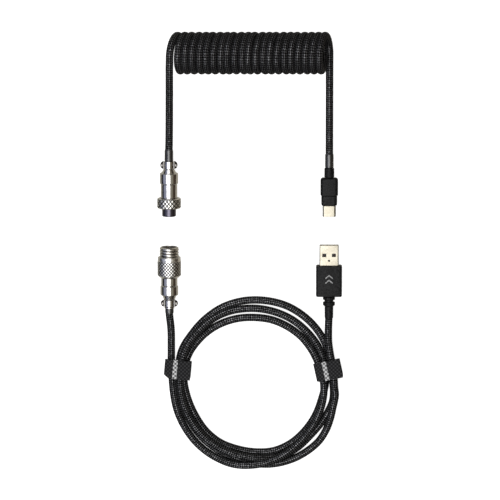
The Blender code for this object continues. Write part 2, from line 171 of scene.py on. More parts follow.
def plastic(name, colour, lit, roughness, grain=1500.0, depth=0.00004, mottle=90.0, **sockets):
    """Moulded plastic or rubber with a fine sparked grain and slight tone changes."""
    made = Material(name, **sockets)
    cloud = made.noise(mottle)
    made.link(made.mix(made.ramp(cloud, 0.35, 0.65), colour, lit), "Base Color")
    fine = made.noise(grain, 3.0, 0.6)
    made.link(made.ramp(fine, 0.3, 0.7, roughness * 0.85, roughness * 1.15), "Roughness")
    made.bump(fine, depth, 0.5)
    return made.mat


def lined_metal(name, colour, shade, ways, count, pitch, low, high, offset=0.0):
    """Plated metal with painted shade in the grooves of a knurl or thread between the stations `low` and
    `high`.

    `count` grooves start round the turned surface for each of the `ways`, 1 and -1, in which they climb;
    each climbs one `pitch` while it passes the space between two of them.
    """
    made = Material(name, Metallic=1.0)
    place = made.node("ShaderNodeSeparateXYZ", Vector=made.coords())
    x = made.math("SUBTRACT", place, AVIATOR[0] * MM)
    along = place.node.outputs[1]
    z = made.math("SUBTRACT", place.node.outputs[2], AVIATOR[2] * MM)
    turn = made.math("MULTIPLY_ADD", made.math("ARCTAN2", z, x), count / math.tau, offset)
    nearest = 0.5
    for way in ways:
        line = made.math("PINGPONG", made.math("MULTIPLY_ADD", along, way / (pitch * MM), turn), 0.5)
        nearest = made.math("MINIMUM", line, nearest)
    inside = made.math("MULTIPLY", made.math("GREATER_THAN", along, low * MM),
                       made.math("LESS_THAN", along, high * MM))
    # painted shade: the grooves take the dark `shade` colour
    groove = made.math("MULTIPLY", made.ramp(nearest, 0.08, 0.22, 1.0, 0.0), inside)
    made.link(made.mix(groove, colour, shade), "Base Color")
    made.polish(0.2, 0.34)
    return made.mat


def clamp_metal():
    """Plated metal whose ears, away from the cord, carry painted shade: darker in colour than the arch, with
    the same gloss.
    """
    made = Material("clamp_plate", Metallic=1.0)
    place = made.node("ShaderNodeSeparateXYZ", Vector=made.coords())
    away = made.math("ABSOLUTE", made.math("SUBTRACT", place, AVIATOR[0] * MM))
    # painted shade: the ears take a near-black colour, the arch keeps the pale plating
    ear = made.ramp(away, 2.4 * MM, 3.4 * MM)
    made.link(made.mix(ear, (0.72, 0.71, 0.69), (0.05, 0.045, 0.04)), "Base Color")
    made.polish(0.12, 0.24)
    return made.mat


def braid_material():
    """Braided sleeve: two sets of flat strands crossing over and under along the UV lattice, with a painted
    glint on the backs of one set.
    """
    made = Material("braid_black", Specular_IOR_Level=0.03, Specular_Tint=(0.0, 0.0, 0.0, 1.0))
    lattice = made.node("ShaderNodeSeparateXYZ", Vector=made.node("ShaderNodeTexCoord", out=UV_OUT))
    around = lattice
    along = lattice.node.outputs[1]
    a = made.math("ADD", around, along)
    b = made.math("SUBTRACT", around, along)
    parity = made.math("FLOORED_MODULO", made.math("ADD", made.math("FLOOR", a), made.math("FLOOR", b)), 2.0)

    def strand(across):
        """A rounded strand with four fibres in it, 0 in the seam and 1 on its back."""
        back = made.math("ABSOLUTE", made.math("SINE", made.math("MULTIPLY", across, math.pi)))
        fibres = made.math("ABSOLUTE", made.math("SINE", made.math("MULTIPLY", across, 4 * math.pi)))
        return made.math("MULTIPLY_ADD", fibres, 0.35, made.math("POWER", back, 0.6))

    over, under = strand(a), strand(b)
    height = made.math("ADD", made.math("MULTIPLY", over, parity),
                       made.math("MULTIPLY", under, made.math("SUBTRACT", 1.0, parity)))
    # painted highlight: only the backs of one strand set, in random patches, are made bright and metallic;
    # the other set stays near black
    glint_patches = made.ramp(made.noise(900.0, 1.0), 0.4, 0.6, 0.35, 1.0)
    glint = made.math("MULTIPLY", made.math("MULTIPLY", made.ramp(over, 0.75, 1.15), parity), glint_patches)
    made.link(made.mix(glint, (0.0008, 0.0008, 0.0008), (0.19, 0.19, 0.197)), "Base Color")
    made.link(made.math("MULTIPLY", glint, 0.85), "Metallic")
    made.link(made.ramp(height, 0.2, 1.3, 0.5, 0.24), "Roughness")
    made.bump(height, 0.0001, 0.4)
    return made.mat


def strap_material(name, dark, lit, pitch, depth, low, high):
    """Woven loop fabric: raised dots in a lattice of one `pitch`, under a fuzz of fine fibres.

    `depth` is the relief, both in metres; the tone turns from dark to lit between heights `low` and `high`.
    """
    made = Material(name, Roughness=0.85, Specular_IOR_Level=0.3)
    place = made.node("ShaderNodeSeparateXYZ", Vector=made.coords())
    x, y = place, place.node.outputs[1]
    first = made.math("SINE", made.math("MULTIPLY", x, math.tau / pitch))
    second = made.math("SINE", made.math("MULTIPLY", y, math.tau / pitch))
    dots = made.math("MULTIPLY", first, second)
    fuzz = made.noise(2400.0, 3.0, 0.65)
    height = made.math("MULTIPLY_ADD", fuzz, 1.2, dots)
    tone = made.ramp(made.math("MULTIPLY_ADD", fuzz, 1.5, dots), low, high)
    made.link(made.mix(tone, dark, lit), "Base Color")
    made.bump(height, depth, 0.8)
    return made.mat


# Grooves each way round, their pitch along, first and last station.
KNURL_BARREL = (21, 2.2, -5.5, 3.4)
KNURL_NUT = (18, 2.8, 37.5, 43.0)
THREAD = (1, 1.75, 6.4, 11.6)
BOTH_WAYS = (1, -1)

MATS = {
    "plated": metal("nickel_plate", (0.80, 0.79, 0.77), 0.16, (0.70, 0.69, 0.67)),
    # the second colour of each knurled or threaded metal is the painted shade in its grooves
    "barrel": lined_metal("knurled_barrel", (0.85, 0.84, 0.81), (0.01, 0.01, 0.01), BOTH_WAYS, *KNURL_BARREL),
    "nut": lined_metal("knurled_nut", (0.85, 0.84, 0.79), (0.01, 0.01, 0.01), BOTH_WAYS, *KNURL_NUT),
    "thread": lined_metal("threaded_shell", (0.72, 0.70, 0.66), (0.06, 0.05, 0.05), (-1,), *THREAD,
                          offset=0.5),
    "clamp": clamp_metal(),
    "screw": metal("screw_plate", (0.30, 0.29, 0.27), 0.22, (0.22, 0.21, 0.20)),
    "gold": metal("contact_gold", (0.90, 0.66, 0.30), 0.22, (0.80, 0.56, 0.24)),
    # painted shade: the USB-A contacts seen through the shell's windows are made near black, as if in its
    # shadow
    "shade_darkened_gold": metal("contact_gold_painted_shade", (0.05, 0.038, 0.035), 0.4, (0.03, 0.025, 0.025)),
    "gold_steel": metal("pale_gold_steel", (0.47, 0.44, 0.36), 0.34, (0.39, 0.36, 0.29), 1400.0),
    "insert": plastic("black_insulator", (0.006, 0.006, 0.008), (0.012, 0.012, 0.016), 0.22, 1200.0, 0.00001,
                      IOR=2.2, Specular_Tint=(0.85, 0.8, 1.0, 1.0)),
    "tongue": plastic("contact_tongue", (0.003, 0.003, 0.004), (0.009, 0.009, 0.01), 0.45),
    "moulding": plastic("black_moulding", (0.002, 0.002, 0.002), (0.018, 0.018, 0.0185), 0.4, depth=0.0001,
                        mottle=1300.0, Specular_IOR_Level=0.1),
    "shrink": plastic("heat_shrink", (0.006, 0.006, 0.006), (0.014, 0.014, 0.014), 0.27, 800.0, 0.00003,
                      IOR=1.9),
    "braid": braid_material(),
    "strap": strap_material("hook_and_loop", (0.001, 0.001, 0.0015), (0.036, 0.036, 0.038), 0.0024, 0.00012,
                            0.5, 1.5),
    "mark": plastic("raised_mark", (0.20, 0.20, 0.20), (0.34, 0.34, 0.34), 0.45, mottle=1300.0),
    "stripe": strap_material("hook_stripe", (0.07, 0.07, 0.073), (0.66, 0.66, 0.66), 0.0026, 0.0001,
                             0.1, 1.5),
}


# ---------------------------------------------------------------- mesh helpers

def finish_piece(name, mesh, look, nodes=(), body=None, sharp=40):
    """Links a mesh drawn in metres, lets it stand for CAD nodes and rides it on a body, if one is named."""
    mesh.validate()
    mesh.shade_smooth()
    mesh.set_sharp_from_angle(angle=math.radians(sharp))
    mesh.materials.append(MATS[look])
    obj = bpy.data.objects.new(name, mesh)
    link(obj)
    if nodes:
        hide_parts(*nodes)
    if body:
        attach(obj, body)
    return obj


def grid_mesh(name, grid, close_rows=False, caps=()):
    """Mesh of rings; a ring is an (n, 3) array or a single point. Rows close into a loop or take caps."""
    bm = bmesh.new()
    rings = [[bm.verts.new(point) for point in ring] for ring in grid]
    pairs = list(zip(rings, rings[1:])) + ([(rings[-1], rings[0])] if close_rows else [])
    for first, second in pairs:
        count = max(len(first), len(second))
        for i in range(count):
            j = (i + 1) % count
            corners = [first[i % len(first)], first[j % len(first)],
                       second[j % len(second)], second[i % len(second)]]
            bm.faces.new(list(dict.fromkeys(corners)))
    for end in caps:
        bm.faces.new(rings[end])
    bmesh.ops.recalc_face_normals(bm, faces=bm.faces)
    mesh = bpy.data.meshes.new(name)
    bm.to_mesh(mesh)
    bm.free()
    return mesh


CORNER_SHARE = 0.45       # of an edge that a rounded corner may take, so that two never meet


def soften(profile, radius, steps=3, closed=True):
    """Rounds the corners of an outline with short curves; an open outline keeps its two ends."""
    points = [np.array(p, float) for p in profile]
    count = len(points)
    rounded = []
    for i, corner in enumerate(points):
        if not closed and i in (0, count - 1):
            rounded.append(corner)
            continue
        before, after = points[i - 1], points[(i + 1) % count]
        into, out = before - corner, after - corner
        reach_in = min(radius, CORNER_SHARE * np.linalg.norm(into)) / np.linalg.norm(into)
        reach_out = min(radius, CORNER_SHARE * np.linalg.norm(out)) / np.linalg.norm(out)
        start, end = corner + into * reach_in, corner + out * reach_out
        for t in np.linspace(0, 1, steps + 1):
            rounded.append((1 - t) ** 2 * start + 2 * t * (1 - t) * corner + t * t * end)
    return rounded


def turned(name, at, profile, look, node, segments=96, corner=0.12, relief=None, axis="Y", sharp=40,
           dense=None):
    """Turns an outline of (along, radius) about an axis through `at` and lets it stand for a node.

    An outline that starts on the axis is a solid, and any other is a ring. `corner` rounds its corners,
    `relief(turns, along, r)` moves the surface out, and `dense` is the most that its points stand apart.
    """
    solid = profile[0][1] == 0
    outline = soften(profile, corner, closed=not solid)
    if dense:
        outline = refine(outline, dense)
    rings = []
    for along, r in outline:
        if r == 0:
            turns = np.zeros(1)
        else:
            turns = np.linspace(0, math.tau, segments, endpoint=False)
        radii = np.full(len(turns), float(r))
        if relief is not None and r > 0:
            radii = radii + relief(turns, along, r)
        u, v = radii * np.cos(turns), radii * np.sin(turns)
        w = np.full(len(turns), float(along))
        order = {"X": (w, u, v), "Y": (u, w, v), "Z": (u, v, w)}[axis]
        rings.append((np.column_stack(order) + np.array(at)) * MM)
    mesh = grid_mesh(name, rings, close_rows=not solid)
    return finish_piece(name, mesh, look, (node,), BODY_OF[node], sharp)


def refine(outline, step):
    """Adds points so that no two neighbours of a closed outline stand further apart than `step`."""
    dense = []
    for a, b in zip(outline, outline[1:] + outline[:1]):
        count = max(1, math.ceil(np.linalg.norm(b - a) / step))
        dense += [a + (b - a) * k / count for k in range(count)]
    return dense


def rounded_rectangle(width, height, radius, steps=6):
    """An outline about its own centre, with `steps` edges in each rounded corner."""
    points = []
    for quarter, (sx, sz) in enumerate(((1, 1), (-1, 1), (-1, -1), (1, -1))):
        for i in range(steps + 1):
            turn = math.pi / 2 * (quarter + i / steps)
            points.append((sx * (width / 2 - radius) + radius * math.cos(turn),
                           sz * (height / 2 - radius) + radius * math.sin(turn)))
    return np.array(points)


def lofted(name, at, sections, look, node, closed=False, sharp=40):
    """Joins outlines of equal point count; each section is (y, outline in x and z).

    Closed sections run back to the first, as round a hollow shell; otherwise both ends are capped.
    """
    rings = [(np.column_stack([s[:, 0], np.full(len(s), float(y)), s[:, 1]]) + np.array(at)) * MM
             for y, s in sections]
    mesh = grid_mesh(name, rings, close_rows=closed, caps=() if closed else (0, -1))
    return finish_piece(name, mesh, look, (node,), BODY_OF[node], sharp)


LEAST_CORNER = 0.15


def block_sections(y_front, y_rear, width, height, corner, front_edge, rear_edge, steps=5):
    """Outlines of a rounded block whose ends curve in by their own edge radius."""
    sections = []
    way = 1 if y_rear > y_front else -1
    for edge, y, order in ((front_edge, y_front, 1), (rear_edge, y_rear, -1)):
        ends = []
        for i in range(steps + 1):
            turn = math.pi / 2 * i / steps
            inset = edge * (1 - math.sin(turn))
            shift = edge * (1 - math.cos(turn))
            outline = rounded_rectangle(width - 2 * inset, height - 2 * inset,
                                        max(corner - inset, LEAST_CORNER))
            ends.append((y + order * way * shift, outline))
        sections += ends if order == 1 else ends[::-1]
    return sections


# ---------------------------------------------------------------- cords

CURVE_SAMPLES = 24        # between two of a route's own points


def smooth_route(points, spacing):
    """Points every `spacing` along a centripetal Catmull-Rom curve through `points`."""
    knots = np.array(points, dtype=float)
    padded = np.vstack([2 * knots[0] - knots[1], knots, 2 * knots[-1] - knots[-2]])
    dense = []
    for a, b, c, d in zip(padded, padded[1:], padded[2:], padded[3:]):
        t1 = np.linalg.norm(b - a) ** 0.5
        t2 = t1 + np.linalg.norm(c - b) ** 0.5
        t3 = t2 + np.linalg.norm(d - c) ** 0.5
        for t in np.linspace(t1, t2, CURVE_SAMPLES, endpoint=False):
            ab = a + (b - a) * t / t1
            bc = b + (c - b) * (t - t1) / (t2 - t1)
            cd = c + (d - c) * (t - t2) / (t3 - t2)
            abc = ab + (bc - ab) * t / t2
            bcd = bc + (cd - bc) * (t - t1) / (t3 - t1)
            dense.append(abc + (bcd - abc) * (t - t1) / (t2 - t1))
    dense.append(knots[-1])
    dense = np.array(dense)
    along = arc_lengths(dense)
    stations = np.linspace(0.0, along[-1], max(2, round(along[-1] / spacing) + 1))
    return np.column_stack([np.interp(stations, along, dense[:, k]) for k in range(3)])


def arc_lengths(route):
    """How far along a route each of its points lies."""
    return np.concatenate([[0.0], np.cumsum(np.linalg.norm(np.diff(route, axis=0), axis=1))])


BRAID_SIDES = 24          # two for each strand round the cord
BRAID_STEP = 0.7          # between rings, half a cell
BRAID_RELIEF = 0.07
BRAID_END_INSET = 0.1     # how much thinner a cord's first and last rings are


def braid_tube(name, route):
    """A tube along the route whose vertices stand in and out in turn, as a braid's crossings do."""
    ahead = np.gradient(route, axis=0)
    ahead /= np.linalg.norm(ahead, axis=1)[:, None]
    side = np.cross(ahead[0], (0.0, 0.0, 1.0))
    sides = []
    for direction in ahead:
        side = side - direction * (side @ direction)
        side = side / np.linalg.norm(side)
        sides.append(side)
    sides = np.array(sides)
    ups = np.cross(sides, ahead)
    turns = np.arange(BRAID_SIDES) * math.tau / BRAID_SIDES
    rings = []
    last = len(route) - 1
    for i, centre in enumerate(route):
        bulge = np.where((np.arange(BRAID_SIDES) + i) % 2 == 1, BRAID_RELIEF, -BRAID_RELIEF)
        if not 0 < i < last:
            bulge = np.full(BRAID_SIDES, -BRAID_END_INSET)
        radii = (CORD_RADIUS + bulge)[:, None]
        spokes = np.cos(turns)[:, None] * sides[i] + np.sin(turns)[:, None] * ups[i]
        rings.append((centre + radii * spokes) * MM)
    verts = np.vstack([np.vstack(rings), route[:1] * MM, route[-1:] * MM])
    count = BRAID_SIDES
    faces, uvs = [], []
    for i in range(last):
        for j in range(count):
            k = (j + 1) % count
            faces.append((i * count + j, i * count + k, (i + 1) * count + k, (i + 1) * count + j))
            uvs += [(j / 2, i / 2), ((j + 1) / 2, i / 2), ((j + 1) / 2, (i + 1) / 2), (j / 2, (i + 1) / 2)]
    for j in range(count):
        k = (j + 1) % count
        faces.append((len(verts) - 2, k, j))
        faces.append((len(verts) - 1, last * count + j, last * count + k))
        uvs += [(0, 0)] * 6
    mesh = bpy.data.meshes.new(name)
    mesh.from_pydata(verts.tolist(), [], faces)
    layer = mesh.uv_layers.new(name="braid")
    layer.data.foreach_set("uv", np.array(uvs, np.float32).ravel())
    mesh.flip_normals()
    return mesh


LOW, TOP = CORD_RADIUS, 6.6      # heights of strands on the table and on other strands
COIL_Y, COIL_Z, COIL_R = 135.45, 13.3, 10.95
COIL_START_X, COIL_PITCH, COIL_LEAN = -46.8, 4.38, 2.8
COIL_TURNS = 21.5
COIL_STEP = 6.0                  # degrees between points
COIL_TUCKS = ((0.0, 0.6, 0.22), (COIL_TURNS, 0.9, 0.25))     # turn, pull towards -X, turns it fades over
COIL_UNEVEN = (0.35, 2.1)        # how far turns stray from an even pitch, and radians of that wave a turn
LEAD_TURNS = 2.5                 # turns that belong to the plug's own piece of cord


def coil_points(first, last):
    """Curly cord from turn `first` to turn `last`; its turns lean, tops towards -X."""
    turns = np.radians(np.arange(first * 360, last * 360 + 0.1, COIL_STEP))
    share = turns / math.tau
    x = COIL_START_X + COIL_PITCH * share - COIL_LEAN * np.cos(turns)
    for turn, pull, fade in COIL_TUCKS:
        x = x - pull * np.exp(-((share - turn) / fade) ** 2)
    stray, wave = COIL_UNEVEN
    x = x + stray * np.sin(share * wave) * np.sin(math.pi * share / COIL_TURNS)
    return np.column_stack([x, COIL_Y + COIL_R * np.sin(turns), COIL_Z + COIL_R * np.cos(turns)])


def curly_cords():
    """The curly cord in two pieces that meet under the coil: the plug's lead with the first turns, and the
    rest of the coil with the USB-C lead.
    """
    x, _, z = AVIATOR
    lead = [(x, 66.5, z), (x, 70.0, z), (x + 0.05, 74.5, z), (x + 0.2, 81.0, 7.8), (x + 0.35, 90.0, 9.9),
            (x + 0.5, 100.0, 13.8), (x + 0.65, 110.0, 18.3), (x + 0.75, 120.0, 22.4), (x + 0.8, 127.5, 24.05)]
    first = smooth_route(np.vstack([lead, coil_points(0, LEAD_TURNS)]), BRAID_STEP)
    piece = finish_piece("cord_plug_side", braid_tube("cord_plug_side", first), "braid", ("lead_plug",),
                         sharp=180)
    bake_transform(piece)

    x, _, z = USB_C
    lead = [(x, 125.0, LOW), (x, 110.0, LOW), (x, 95.0, LOW), (x, 84.0, 2.5), (x, 74.0, 3.0), (x, 66.0, z),
            (x, 61.0, z)]
    second = smooth_route(np.vstack([coil_points(LEAD_TURNS, COIL_TURNS), lead]), BRAID_STEP)
    piece = finish_piece("cord_curly", braid_tube("cord_curly", second), "braid", ("coil", "lead_usb_c"),
                         sharp=180)
    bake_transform(piece)
    return piece, second


# Where the cord runs: degrees round the ring, distance from its centre, and height where it isn't LOW.
RING_CENTRE = (2.65, -75.0)
RING_ROUTE = (
    (190, 52.0), (202, 52.6), (214, 53.2), (226, 54.0), (238, 54.6, 2.5), (250, 54.7, 4.1),
    (258, 54.2, 5.8), (266, 53.2, 6.9), (275, 52.2, 7.0), (285, 50.8, 6.8), (295, 49.2, TOP),
    (305, 47.7, 6.4), (315, 46.6, 6.3), (327, 45.6, 6.3), (340, 44.7, 6.4), (352, 44.0, 6.5),
    (362, 43.3, 6.2), (372, 42.4, 5.2), (382, 41.7, 3.6), (392, 41.3, 2.5), (405, 41.2), (420, 41.05),
    (435, 41.2), (450, 41.3), (465, 42.1), (480, 43.1), (495, 44.1), (510, 45.1), (520, 45.6), (530, 45.3),
    (540, 44.8), (555, 43.8), (570, 43.6), (585, 44.4), (600, 45.0), (615, 44.9), (630, 45.4), (645, 46.2),
    (660, 45.8), (675, 44.8), (690, 44.1), (705, 43.7), (720, 44.7), (735, 45.5), (750, 46.0), (765, 46.0),
    (780, 46.35), (795, 46.65), (810, 47.15), (825, 47.8), (836, 48.4, 3.2), (846, 48.7, 4.8),
    (856, 48.7, 6.0), (866, 48.9, TOP), (880, 48.6, TOP), (900, 47.3, TOP), (915, 47.1, TOP),
    (930, 47.1, 6.5), (945, 47.2, 6.5), (960, 47.4, 6.5), (972, 47.6, 6.5), (984, 48.0, 6.4),
    (993, 48.8, 5.8), (1003, 49.9, 4.2), (1012, 50.7, 2.7), (1022, 50.4), (1035, 49.4), (1050, 49.8),
    (1065, 50.8), (1072, 50.3), (1080, 49.4), (1092, 50.1), (1104, 50.6), (1118, 51.5), (1132, 52.2),
    (1147, 52.7), (1162, 52.6), (1177, 52.5), (1192, 52.1), (1207, 51.1), (1222, 50.3), (1237, 50.4),
    (1260, 48.6), (1275, 48.3), (1290, 48.2), (1305, 49.0), (1320, 49.8), (1332, 50.4), (1343, 51.7),
    (1354, 53.4), (1366, 54.7), (1380, 55.6), (1395, 55.9), (1405, 54.8, 3.2), (1414, 53.1, 5.2),
    (1422, 51.8, TOP), (1431, 51.4, 6.6),
)
RING_LIFT = 1.3                      # where strands pass over the bottom of a strap
LIFT_STARTS, LIFT_LENGTH = 24, 13    # degrees round the ring from a strap, and over which the lift grows

# Name, x, y, degrees from the X axis, how far each low corner is cut back, seed of its unevenness.
STRAPS = (("left", -46.0, -65.6, -5.0, (2.2, 1.3), 11), ("right", 48.9, -66.2, 12.5, (0.6, 0.6), 21))


def ring_lift(x, y):
    """How far strands stand off the table to pass over a strap."""
    lift = 0.0
    angle = math.degrees(math.atan2(y - RING_CENTRE[1], x - RING_CENTRE[0]))
    for _, strap_x, strap_y, *_ in STRAPS:
        middle = math.degrees(math.atan2(strap_y - RING_CENTRE[1], strap_x - RING_CENTRE[0]))
        away = abs((angle - middle + 180) % 360 - 180)
        share = min(max((LIFT_STARTS - away) / LIFT_LENGTH, 0.0), 1.0)
        lift = max(lift, RING_LIFT * share * share * (3 - 2 * share))
    return lift


def host_route():
    """The host half's cord: down from the socket, three and a half turns round, up to the USB-A plug."""
    x, _, z = AVIATOR
    points = [(x, -26.5, z), (x, -30.5, z), (x + 0.3, -33.5, 7.2), (x + 0.8, -38.0, 6.1),
              (x + 1.1, -43.5, 4.7), (x + 1.1, -49.0, 3.4), (x + 1.1, -55.3, 2.7), (x + 1.15, -64.0, 2.4)]
    middle_x, middle_y = RING_CENTRE
    for angle, radius, *height in RING_ROUTE:
        turn = math.radians(angle)
        points.append((middle_x + radius * math.cos(turn), middle_y + radius * math.sin(turn),
                       *(height or [LOW])))
    x, _, z = USB_A
    points += [(x + 3.6, -77.0, 6.8), (x + 3.0, -69.0, 6.8), (x + 1.8, -61.0, 6.8), (x + 0.5, -54.0, 6.8),
               (x - 0.25, -48.0, 6.5), (x - 0.3, -42.5, 5.3), (x - 0.2, -38.0, 4.35), (x, -33.0, z),
               (x, -28.0, z)]
    lifted = [(px, py, pz + ring_lift(px, py)) for px, py, pz in points]
    return smooth_route(lifted, BRAID_STEP)


CURLY, CURLY_ROUTE = curly_cords()
HOST_ROUTE = host_route()
HOST = finish_piece("cord_host", braid_tube("cord_host", HOST_ROUTE), "braid",
                    ("ring_coil", "lead_socket", "lead_usb_a"), "cable_set", sharp=180)


# ---------------------------------------------------------------- aviator socket and plug

SKIN = 0.05               # how far below a carved radius a point still counts as on that surface
KNURL_FADE, THREAD_FADE = 0.35, 0.3
KNURL_SIDES = 240         # round a knurled piece, fine enough for its grooves
KNURL_LAND = 0.24         # half a groove's width, in shares of the way to the next


def knurl(radius, count, pitch, low, high, depth):
    """Relief of crossing grooves between two stations on the surface of that radius."""
    def relief(turns, along, r):
        if r < radius - SKIN or not low < along < high:
            return 0.0
        fade = min(1.0, (along - low) / KNURL_FADE, (high - along) / KNURL_FADE)
        lines = [turns * count / math.tau + way * along / pitch for way in BOTH_WAYS]
        nearest = np.minimum(*[np.abs(line - np.round(line)) for line in lines])
        return -depth * fade * np.clip(1 - nearest / KNURL_LAND, 0, 1)
    return relief


def screw_thread(radius, pitch, low, high, depth):
    """Relief of a helical thread between two stations."""
    def relief(turns, along, r):
        if r < radius - SKIN or not low < along < high:
            return 0.0
        fade = min(1.0, (along - low) / THREAD_FADE, (high - along) / THREAD_FADE)
        wave = 0.5 - 0.5 * np.cos(turns - math.tau * along / pitch)
        return -depth * fade * wave ** 1.5
    return relief


def carve(obj, tools):
    """Cuts closed tools out of a piece, then throws the tools away."""
    for tool in tools:
        modifier = obj.modifiers.new("carve", "BOOLEAN")
        modifier.object = tool
        modifier.solver = "EXACT"
    bpy.context.view_layer.update()
    mesh = bpy.data.meshes.new_from_object(obj.evaluated_get(bpy.context.evaluated_depsgraph_get()))
    obj.modifiers.clear()
    obj.data = mesh
    for tool in tools:
        bpy.data.objects.remove(tool, do_unlink=True)
    return obj


def tool_box(low, high, turn=0.0):
    """A plain closed box to cut with, in millimetres, turned about its own centre."""
    bm = bmesh.new()
    bmesh.ops.create_cube(bm, size=1.0)
    size = Vector(high) - Vector(low)
    bmesh.ops.scale(bm, vec=size * MM, verts=bm.verts)
    return tool_from(bm, (Vector(high) + Vector(low)) / 2, turn)


def tool_pin(at, radius, length):
    """A closed upright pin to cut round holes with."""
    bm = bmesh.new()
    bmesh.ops.create_cone(bm, cap_ends=True, segments=24, radius1=radius * MM, radius2=radius * MM,
                          depth=length * MM)
    return tool_from(bm, Vector(at), 0.0)


def tool_from(bm, at, turn):
    mesh = bpy.data.meshes.new("tool")
    bm.to_mesh(mesh)
    bm.free()
    tool = bpy.data.objects.new("tool", mesh)
    tool.location = at * MM
    tool.rotation_euler.z = turn
    link(tool)
    return tool


CLAMP_BORE, CLAMP_OUTER, CLAMP_EAR_X, CLAMP_SCREW_X = 2.55, 3.35, 5.4, 4.4
CLAMP_SPLIT, CLAMP_EAR_Z = 0.15, 1.55     # half the slit between the two halves, and an ear's height
CLAMP_EAR_ROOT = 3.1                      # where the top of an ear leaves the arch
CLAMP_END_X = 3.6                         # how far the ears reach at the ends of the clamp


def arc(radius, first, last):
    return [(radius * math.cos(t), radius * math.sin(t)) for t in np.linspace(first, last, 25)]


def clamp_outline(side, reach):
    """Half a cable clamp seen along the cord: an arch with an ear each side, out to `reach`."""
    outer = math.asin(CLAMP_EAR_Z / CLAMP_OUTER)
    inner = math.asin(CLAMP_SPLIT / CLAMP_BORE)
    crown = CLAMP_EAR_ROOT + (reach - CLAMP_EAR_ROOT) * 0.5
    right, left = [soften([(x * (CLAMP_EAR_ROOT - 0.1), CLAMP_SPLIT), (x * reach, CLAMP_SPLIT),
                           (x * reach, 0.5 * CLAMP_EAR_Z), (x * crown, 0.97 * CLAMP_EAR_Z),
                           (x * CLAMP_EAR_ROOT, CLAMP_EAR_Z)], 0.55, 4, closed=False)[1:-1] for x in (1, -1)]
    points = [*right, *arc(CLAMP_OUTER, outer, math.pi - outer), *left[::-1],
              *arc(CLAMP_BORE, math.pi - inner, inner)]
    return np.array([(x, side * z) for x, z in points])


def shrink_outline(outline, amount):
    """Moves an outline inwards by about `amount`, along its normals."""
    before, after = np.roll(outline, 1, axis=0), np.roll(outline, -1, axis=0)
    run = after - before
    normal = np.column_stack([run[:, 1], -run[:, 0]]) / np.maximum(np.linalg.norm(run, axis=1), 1e-9)[:, None]
    area = np.sum(outline[:, 0] * after[:, 1] - after[:, 0] * outline[:, 1])
    return outline - normal * amount * (1 if area > 0 else -1)


def cable_clamp(prefix, y_rear, y_front):
    """The clamp's two halves, whose ears round off towards its ends, and its two screws."""
    middle = (y_rear + y_front) / 2
    for part, side in (("base", -1), ("saddle", 1)):
        sections = []
        for t in np.sin(np.linspace(-math.pi / 2, math.pi / 2, 17)):
            reach = CLAMP_END_X + (CLAMP_EAR_X - CLAMP_END_X) * math.sqrt(max(0.0, 1 - t * t))
            outline = clamp_outline(side, reach)
            sections.append((middle + t * (y_front - y_rear) / 2, shrink_outline(outline, 0.1 * t ** 10)))
        name = f"{prefix}_clamp_{part}"
        half = lofted(f"{name}_look", AVIATOR, sections, "clamp", name, sharp=35)
        carve(half, [tool_pin((AVIATOR[0] + x * CLAMP_SCREW_X, middle, AVIATOR[2] + side), 0.75, 4)
                     for x in (-1, 1)])
    for part, side, turn in (("left", -1, 0.5), ("right", 1, -0.9)):
        place = (AVIATOR[0] + side * CLAMP_SCREW_X, middle, AVIATOR[2])
        clamp_screw(f"{prefix}_clamp_screw_{part}", place, turn)


def clamp_screw(name, place, turn):
    """A screw with a domed, slotted head; `turn` is the slot's, in radians."""
    shaft, head, dome, dome_starts = 0.5, 0.98, 0.7, 1.85
    slot_half, slot_floor = 0.14, 2.2
    outline = [(-1.3, 0), (-1.3, shaft), (1.62, shaft), (1.62, head)]
    outline += [(dome_starts + dome * math.sin(t), head * math.cos(t)) for t in np.linspace(0, 1.4, 7)]
    outline += [(dome_starts + dome, 0)]
    screw = turned(f"{name}_look", place, outline, "screw", name, 32, 0.1, axis="Z")
    x, y, z = place
    carve(screw, [tool_box((x - 1.2, y - slot_half, z + slot_floor), (x + 1.2, y + slot_half, z + 3), turn)])


def wrinkled(seed, depth):
    """Relief of a shrunk sleeve: low waves that follow no rule but are the same each run."""
    phases = np.random.default_rng(seed).uniform(0, math.tau, 4)

    def relief(turns, along, r):
        wave = (np.sin(2 * turns + 1.7 * along + phases[0]) + np.sin(3 * turns - 1.1 * along + phases[1])
                + np.sin(turns + 2.9 * along + phases[2]) + 0.6 * np.sin(5 * turns + 0.8 * along + phases[3]))
        return depth * wave / 3.6
    return relief


SHRINK_BORE, SHRINK_LIP, SHRINK_OUTER, SHRINK_TAPER = 2.44, 2.6, 2.68, 0.7


def heat_shrink(node, at, y_rear, y_front, seed):
    outline = [(y_rear, SHRINK_BORE), (y_rear, SHRINK_LIP), (y_rear + SHRINK_TAPER, SHRINK_OUTER),
               (y_front - SHRINK_TAPER, SHRINK_OUTER), (y_front, SHRINK_LIP), (y_front, SHRINK_BORE)]
    turned(f"{node}_look", at, outline, "shrink", node, 64, 0.2, wrinkled(seed, 0.035), dense=0.45)


CONTACTS, CONTACT_RADIUS = 4, 2.15
THREAD_RADIUS, BARREL_RADIUS, NUT_RADIUS = 6.05, 7.4, 7.45


def contact_circle():
    """Each contact's number and place."""
    for i in range(CONTACTS):
        turn = math.tau * (i + 0.5) / CONTACTS
        x, z = CONTACT_RADIUS * math.cos(turn), CONTACT_RADIUS * math.sin(turn)
        yield i + 1, (AVIATOR[0] + x, 0, AVIATOR[2] + z)


